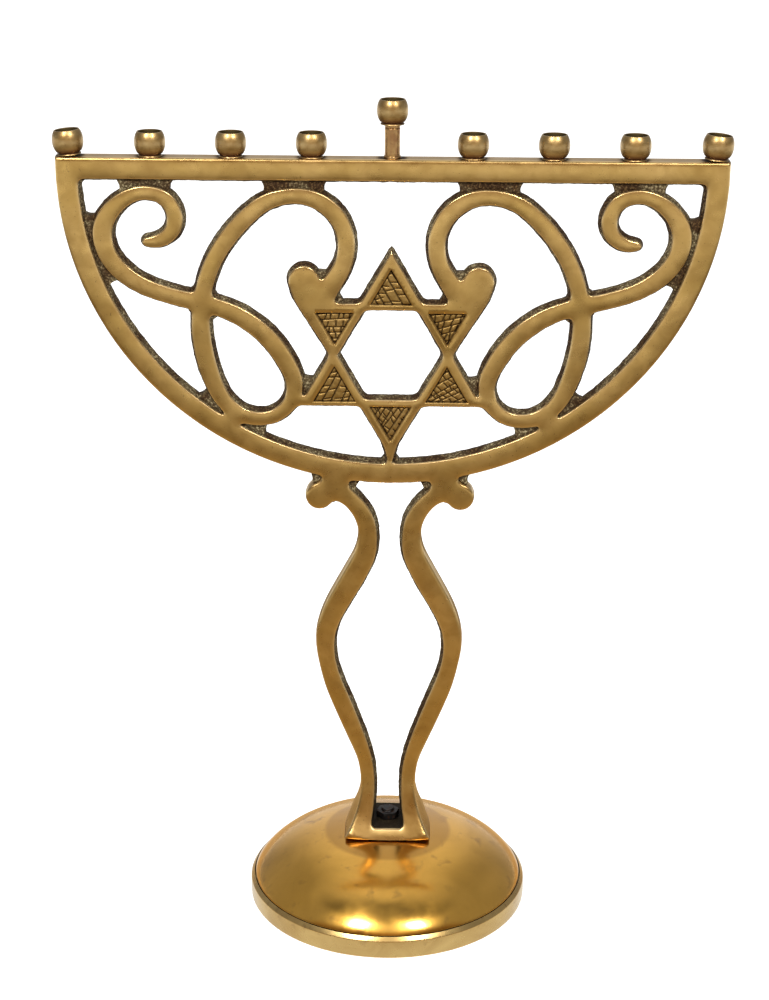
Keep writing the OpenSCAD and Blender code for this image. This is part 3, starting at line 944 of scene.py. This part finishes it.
def casting_brass():
    """Filed olive-gold faces, a bright line along their edges of rubbed brass and painted
    highlight, dark grooves, and rough brown cast sides, darker in places by painted shade.
    """
    s = Shader("casting_brass", Specular_IOR_Level=0.12)
    broad = s.ramp(s.noise(34, 3, 0.4), 0.35, 0.65)
    mottled = s.ramp(s.noise(9, 5, 0.6), 0.40, 0.72)
    gold = s.mix(broad, (0.52, 0.335, 0.120), (0.43, 0.270, 0.082))
    gold = s.mix(s.times(mottled, 0.6), gold, (0.31, 0.180, 0.052))
    pits = s.ramp(s.noise(1.0, 1), 0.73, 0.78)
    gold = s.mix(s.times(pits, 0.6), gold, (0.12, 0.075, 0.035))
    # bright line along the filed edges: rubbed brass and painted highlight
    gold = s.mix(s.times(s.attribute("worn"), 0.8), gold, (0.80, 0.60, 0.32))
    speckle = s.ramp(s.noise(0.9, 4, 0.3), 0.50, 0.74)
    crust = s.ramp(s.noise(11, 3, 0.5), 0.42, 0.62)
    dark = s.mix(crust, (0.026, 0.012, 0.004), (0.062, 0.042, 0.018))
    light = s.mix(crust, (0.150, 0.088, 0.034), (0.420, 0.350, 0.200))
    cast = s.mix(speckle, dark, light)
    polish = s.attribute("polish")
    # Faces: dark patina in the panels' cuts and ditches. Sides: painted shadow round the feet on
    # the bar, painted shade in the slot, and a darker bar top.
    grime = s.attribute("grime")
    face = s.mix(grime, gold, (0.040, 0.022, 0.009))
    cast = s.mix(s.times(grime, 0.9), cast, (0.012, 0.008, 0.005))
    colour = s.mix(polish, cast, face)
    sheen = s.ramp(s.noise(7, 4), 0.3, 0.7, 0.25, 0.36)
    roughness = s.blend(polish, 0.7, s.blend(grime, sheen, 0.7))
    s.put(s.principled.inputs["Metallic"], s.blend(polish, 0.35, 1.0))
    grain = s.bump(s.noise(0.5, 3), 0.16, 0.9)
    scratch = s.noise(0.45, 3, 0.0, (0.12, 1, 1))
    filed = s.bump(scratch, 0.016, 0.6)
    return s.finish(colour, roughness, s.mix_normal(polish, grain, filed))


COAT_ROUGHNESS = 0.14
MATTE, BRIGHT = 0.07, 0.04  # how much duller and brighter than its mean a surface gets


def turned_brass(name, light, dark, stain, rough, stain_width, lines=0.0, lacquer=0.0,
                 darkened=()):
    """Lathe-turned brass: soft stains, faint turning lines, and darker places given by
    attributes, among them painted shade and a painted reflection.

    Each darker place is listed by attribute, amount, colour and roughness."""
    s = Shader(name, Metallic=1.0, Coat_Weight=lacquer, Coat_Roughness=COAT_ROUGHNESS)
    broad = s.ramp(s.noise(stain_width, 4, 0.7), 0.36, 0.66)
    colour = s.mix(broad, light, dark)
    spots = s.ramp(s.noise(stain_width * 0.3, 5, 0.3), 0.60, 0.76)
    colour = s.mix(s.times(spots, 0.6), colour, stain)
    pits = s.ramp(s.noise(0.8, 1), 0.74, 0.78)
    colour = s.mix(s.times(pits, 0.5), colour, stain)
    roughness = s.ramp(s.noise(stain_width * 0.5, 4), 0.3, 0.7, rough - BRIGHT, rough + MATTE)
    # darker places: dark joints, a darker bore, painted shade in the cups' crease and a painted
    # reflection on the dome's crown
    for key, amount, tone, dull in darkened:
        darkening = s.times(s.attribute(key), amount)
        colour = s.mix(darkening, colour, tone)
        roughness = s.blend(darkening, roughness, dull)
    turning = s.noise(0.3, 2, 0.0, (0.02, 0.02, 1)) if lines else s.noise(1.2, 3)
    return s.finish(colour, roughness, s.bump(turning, 0.02, lines or 0.25))


def dark_steel(name, tone, rough):
    """Blackened or plain steel with brown flecks of rust on it."""
    s = Shader(name, Metallic=0.9)
    rust = s.ramp(s.noise(1.8, 5), 0.52, 0.7)
    colour = s.mix(rust, tone, (0.085, 0.040, 0.020))
    roughness = s.blend(rust, rough, 0.75)
    return s.finish(colour, roughness, s.bump(s.noise(0.4, 3), 0.06, 0.6))


# ---------------- stage

FLOOR_HALF = 9.0  # metres, as everywhere in the stage
FLOOR_GLOW = 0.4
ABOVE_FLOOR = 0.0004

# What the polished faces mirror of the floor: distance from the lamp, and tone. A colour
# ramp holds no tone over 1, so it takes them over the gain, and the gain is the strength.
MIRROR_GAIN = 1.8
MIRRORED = [(0.085, (1.0, 1.0, 0.96)), (0.11, (0.66, 0.46, 0.20)), (0.2, (0.62, 0.46, 0.24)),
            (0.34, (0.68, 0.53, 0.33)), (0.6, (0.25, 0.18, 0.08)), (0.9, (0.28, 0.23, 0.15)),
            (1.2, (0.78, 0.76, 0.66)), (1.8, (1.70, 1.75, 1.75)), (2.6, (1.70, 1.75, 1.75))]

WALLS = 0.78  # strength of the room as the polished faces mirror it
SIDES_DARKER, FRONT_DARKER, LOW_DARKER = 0.45, 0.75, 0.45
WARM = (1.0, 0.62, 0.26)  # tone of the low front of the room


def flat_sheet(name, z):
    mesh = bpy.data.meshes.new(name)
    corner_signs = ((-1, -1), (1, -1), (1, 1), (-1, 1))
    mesh.from_pydata([(FLOOR_HALF * x, FLOOR_HALF * y, z) for x, y in corner_signs],
                     [], [(0, 1, 2, 3)])
    sheet = add_object(name, mesh)
    return sheet


def make_floor():
    floor = flat_sheet("floor", 0.0)
    s = Shader("floor_white", Specular_IOR_Level=0.0, Emission_Color=(1, 1, 1, 1),
               Emission_Strength=FLOOR_GLOW)
    tone = s.mix(s.noise(400, 2), (0.84, 0.84, 0.84), (0.86, 0.86, 0.86))
    floor.data.materials.append(s.finish(tone, 0.9))


def make_mirrored_floor():
    """A glowing sheet just over the floor, seen only in reflections: painted reflection in soft
    rings of tone, like dark flags on a set.
    """
    sheet = flat_sheet("floor_reflection", ABOVE_FLOOR)
    for flag in ("visible_camera", "visible_diffuse", "visible_shadow", "visible_transmission"):
        setattr(sheet, flag, False)
    material = bpy.data.materials.new("floor_reflection")
    material.use_nodes = True
    material.node_tree.nodes.clear()
    s = Nodes(material.node_tree, "Object")
    distance = s.add("VectorMath", {0: s.place}, operation="LENGTH").outputs["Value"]
    furthest = MIRRORED[-1][0]
    ramp = s.add("ValToRGB", {0: s.math("DIVIDE", distance, furthest)})
    ramp.color_ramp.interpolation = "EASE"
    stops = ramp.color_ramp.elements
    while len(stops) < len(MIRRORED):
        stops.new(1.0)
    for stop, (far, tone) in zip(stops, MIRRORED):
        stop.position = far / furthest
        stop.color = (*(c / MIRROR_GAIN for c in tone), 1)
    glow = s.add("Emission", {"Strength": MIRROR_GAIN, "Color": ramp.outputs["Color"]})
    s.add("OutputMaterial", {"Surface": glow.outputs[0]})
    sheet.data.materials.append(material)


def make_light(name, at, aim, size, power):
    data = bpy.data.lights.new(name, "AREA")
    data.shape = "RECTANGLE"
    data.size, data.size_y = size
    data.energy = power
    light = add_object(name, data)
    light.location = at
    light.rotation_euler = (Vector(aim) - Vector(at)).to_track_quat("-Z", "Y").to_euler()


def make_studio_walls(tree):
    """A white room whose mirror image is darker at the sides and over the front."""
    s = Nodes(tree, "Generated")
    x, y, z = s.add("SeparateXYZ", {0: s.place}).outputs

    def edge(value, low, high):
        return s.ramp(value, low, high, kind="SMOOTHSTEP")

    def less(amount):
        return s.math("SUBTRACT", 1.0, amount)

    sides = edge(s.math("ABSOLUTE", x), 0.17, 0.60)
    over = s.times(edge(y, 0.05, -0.2), s.times(edge(z, 0.77, 0.84), edge(z, 1.0, 0.985)))
    low = s.times(edge(y, -0.3, -0.6), s.times(edge(z, -0.05, 0.05), edge(z, 0.66, 0.5)))
    strength = s.math("SUBTRACT", WALLS, s.times(sides, SIDES_DARKER))
    strength = s.times(strength, less(s.times(over, FRONT_DARKER)))
    strength = s.times(strength, less(s.times(low, LOW_DARKER)))
    mirrored = s.add("LightPath").outputs["Is Glossy Ray"]
    background = s.nodes["Background"].inputs
    s.put(background["Strength"], less(s.times(mirrored, less(strength))))
    s.put(background["Color"], s.mix(s.times(mirrored, low), (1, 1, 1), WARM))


def make_stage():
    scene = bpy.context.scene
    scene.view_settings.view_transform = "Standard"
    world = bpy.data.worlds.new("studio")
    scene.world = world
    world.use_nodes = True
    make_studio_walls(world.node_tree)
    make_floor()
    make_mirrored_floor()
    middle = (0, 0, 0.2)
    make_light("softbox_left", (-0.62, -1.15, 1.5), middle, (0.36, 0.4), 22)
    make_light("softbox_right", (0.68, -1.15, 1.5), middle, (0.32, 0.4), 20)


def make_camera():
    """Long lens, a little above the bar, looking down at the lamp."""
    pitch, yaw, roll = math.radians(19.675), math.radians(-0.793), math.radians(0.351)
    forward = Vector((math.sin(yaw) * math.cos(pitch), math.cos(yaw) * math.cos(pitch),
                      -math.sin(pitch)))
    right = Vector((math.cos(yaw), -math.sin(yaw), 0))
    up = right.cross(forward)
    across = right * math.cos(roll) + up * math.sin(roll)
    upward = up * math.cos(roll) - right * math.sin(roll)
    turn = Matrix((across, upward, -forward)).transposed().to_4x4()
    data = bpy.data.cameras.new("camera")
    data.sensor_width = 36
    data.lens = 77.15
    camera = add_object("camera", data)
    camera.matrix_world = Matrix.Translation((0.0106, -0.9495, 0.5457)) @ turn
    bpy.context.scene.camera = camera


# ---------------- the whole lamp

SEAM = ("seam", 1.0, (0.020, 0.012, 0.007), 0.6)  # attribute, amount, colour, roughness


def make_looks():
    """The materials of the turned pieces."""
    cup = turned_brass(
        "cup_brass", light=(0.43, 0.295, 0.125), dark=(0.31, 0.190, 0.066),
        stain=(0.22, 0.125, 0.048), rough=0.38, stain_width=6, lines=0.7, lacquer=0.2,
        # darker, duller bore inside; painted shade in the crease over the foot and under the
        # belly
        darkened=[("inner", 1.0, (0.13, 0.095, 0.040), 0.55),
               ("crevice", 0.85, (0.10, 0.035, 0.015), 0.5)])
    post = turned_brass(
        "post_brass", light=(0.40, 0.24, 0.09), dark=(0.25, 0.12, 0.045),
        stain=(0.13, 0.06, 0.03), rough=0.34, stain_width=5, lines=0.3, lacquer=0.2)
    dome = turned_brass(
        "dome_brass", light=(0.88, 0.48, 0.082), dark=(0.75, 0.40, 0.062),
        stain=(0.34, 0.17, 0.045), rough=0.18, stain_width=26, lacquer=0.4,
        # painted reflection: a darker, duller circle on the crown round the foot
        darkened=[("crown", 0.6, (0.42, 0.20, 0.032), 0.24), SEAM])
    ring = turned_brass(
        "ring_brass", light=(0.60, 0.41, 0.155), dark=(0.49, 0.315, 0.110),
        stain=(0.30, 0.17, 0.06), rough=0.25, stain_width=18, lines=0.25, lacquer=0.3,
        darkened=[SEAM])
    return cup, post, dome, ring


def main():
    make_camera()
    make_stage()
    casting = make_casting()
    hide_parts("frame_casting")
    casting.data.materials.append(casting_brass())
    cup_look, post_look, dome_look, ring_look = make_looks()
    cups = make_cups()
    post, dome, ring = make_post(), make_dome(), make_ring()
    steel = make_fasteners()
    black = dark_steel("black_steel", (0.028, 0.026, 0.026), 0.42)
    for piece, look in [*((c, cup_look) for c in cups), (post, post_look), (dome, dome_look),
                        (ring, ring_look), *((s, black) for s in steel)]:
        piece.data.materials.append(look)
    screw_look = dark_steel("screw_steel", (0.20, 0.19, 0.175), 0.36)
    for node in ("cup_screws", "shamash_screw"):
        for place in frame["nodes"][node].material_slots:
            place.material = screw_look
    for piece in (casting, *cups, post, dome, ring, *steel):
        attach(piece, "root")


main()
